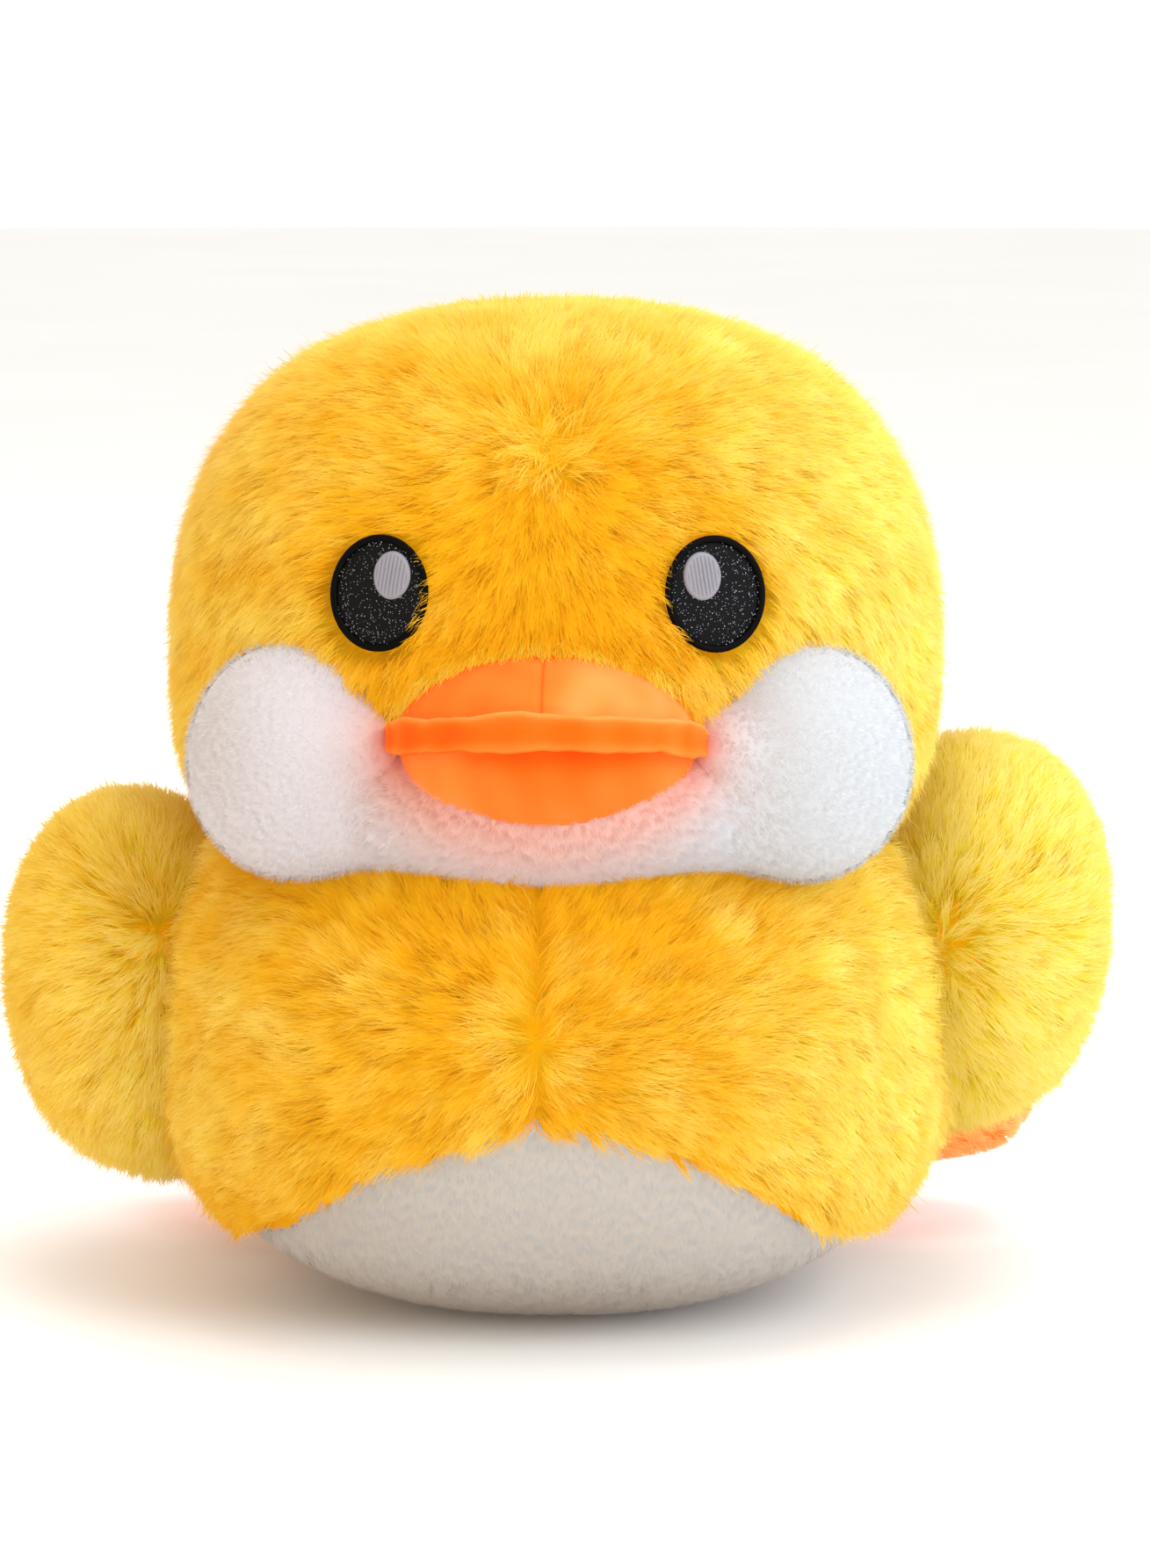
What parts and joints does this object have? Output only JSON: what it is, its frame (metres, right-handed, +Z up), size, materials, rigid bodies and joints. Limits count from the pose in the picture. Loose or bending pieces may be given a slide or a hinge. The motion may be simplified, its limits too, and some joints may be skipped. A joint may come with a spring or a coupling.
{
  "type": "plush duck",
  "caption": "Soft plush duck that lies on its belly, with a broad furry head, round white cheeks, a padded bill, side wings and webbed feet.",
  "frame": {"origin": "middle of the flat on which the belly rests", "axes": "+X towards the duck's own left wing side as the viewer's right, +Y towards the tail, +Z up; the face looks along -Y"},
  "size_m": [0.38, 0.3408, 0.344],
  "materials": {
    "yellow_long_plush": "long-pile faux fur, soft sheen, pile about 10 mm deep",
    "white_short_plush": "short fine white plush, matt",
    "orange_velvet": "smooth short-nap velvet with a soft sheen",
    "black_glitter_fabric": "black fabric with fine silver glitter",
    "black_satin_stitch": "dense black satin-stitch embroidery",
    "lilac_satin_stitch": "pale lilac-white satin-stitch embroidery",
    "fibre_stuffing": "white polyester fibre fill, hidden inside"
  },
  "bodies": {
    "body": {"body_stuffing": "fibre_stuffing", "chest_left_panel": "yellow_long_plush", "chest_right_panel": "yellow_long_plush", "back_left_panel": "yellow_long_plush", "back_right_panel": "yellow_long_plush", "belly_panel": "white_short_plush", "tail_skin": "yellow_long_plush", "tail_stuffing": "fibre_stuffing"},
    "head": {"head_stuffing": "fibre_stuffing", "head_left_panel": "yellow_long_plush", "head_right_panel": "yellow_long_plush", "head_back_panel": "yellow_long_plush", "chin_band": "white_short_plush", "cheek_left_skin": "white_short_plush", "cheek_left_stuffing": "fibre_stuffing", "cheek_right_skin": "white_short_plush", "cheek_right_stuffing": "fibre_stuffing", "bill_upper_left_panel": "orange_velvet", "bill_upper_right_panel": "orange_velvet", "bill_upper_stuffing": "fibre_stuffing", "bill_lip": "orange_velvet", "bill_lower_panel": "orange_velvet", "bill_lower_stuffing": "fibre_stuffing", "eye_left_disc": "black_glitter_fabric", "eye_left_rim": "black_satin_stitch", "eye_left_highlight": "lilac_satin_stitch", "eye_right_disc": "black_glitter_fabric", "eye_right_rim": "black_satin_stitch", "eye_right_highlight": "lilac_satin_stitch"},
    "wing_left": {"wing_left_outer_panel": "yellow_long_plush", "wing_left_inner_panel": "yellow_long_plush", "wing_left_stuffing": "fibre_stuffing"},
    "wing_right": {"wing_right_outer_panel": "yellow_long_plush", "wing_right_inner_panel": "yellow_long_plush", "wing_right_stuffing": "fibre_stuffing"},
    "foot_left": {"foot_left_top_panel": "orange_velvet", "foot_left_sole_panel": "orange_velvet", "foot_left_stuffing": "fibre_stuffing"},
    "foot_right": {"foot_right_top_panel": "orange_velvet", "foot_right_sole_panel": "orange_velvet", "foot_right_stuffing": "fibre_stuffing"}
  },
  "joints": [
    {"name": "head_turn", "type": "hinge", "parent": "body", "child": "head", "pos_m": [0, 0, 0.157], "axis": [0, 0, 1], "range_deg": [-10, 10], "stiffness_Nm_per_rad": 0.6},
    {"name": "wing_left_swing", "type": "hinge", "parent": "body", "child": "wing_left", "pos_m": [-0.12928, -0.0465, 0.106], "axis": [0, 0, 1], "range_deg": [0, 35], "stiffness_Nm_per_rad": 0.08},
    {"name": "wing_right_swing", "type": "hinge", "parent": "body", "child": "wing_right", "pos_m": [0.12928, -0.0465, 0.1255], "axis": [0, 0, -1], "range_deg": [0, 35], "stiffness_Nm_per_rad": 0.08},
    {"name": "foot_left_lift", "type": "hinge", "parent": "body", "child": "foot_left", "pos_m": [-0.10447, 0.088, 0.0395], "axis": [0.4226, 0.9063, 0], "range_deg": [0, 20], "stiffness_Nm_per_rad": 0.05},
    {"name": "foot_right_lift", "type": "hinge", "parent": "body", "child": "foot_right", "pos_m": [0.10447, 0.088, 0.0395], "axis": [0.4226, -0.9063, 0], "range_deg": [0, 20], "stiffness_Nm_per_rad": 0.05}
  ]
}
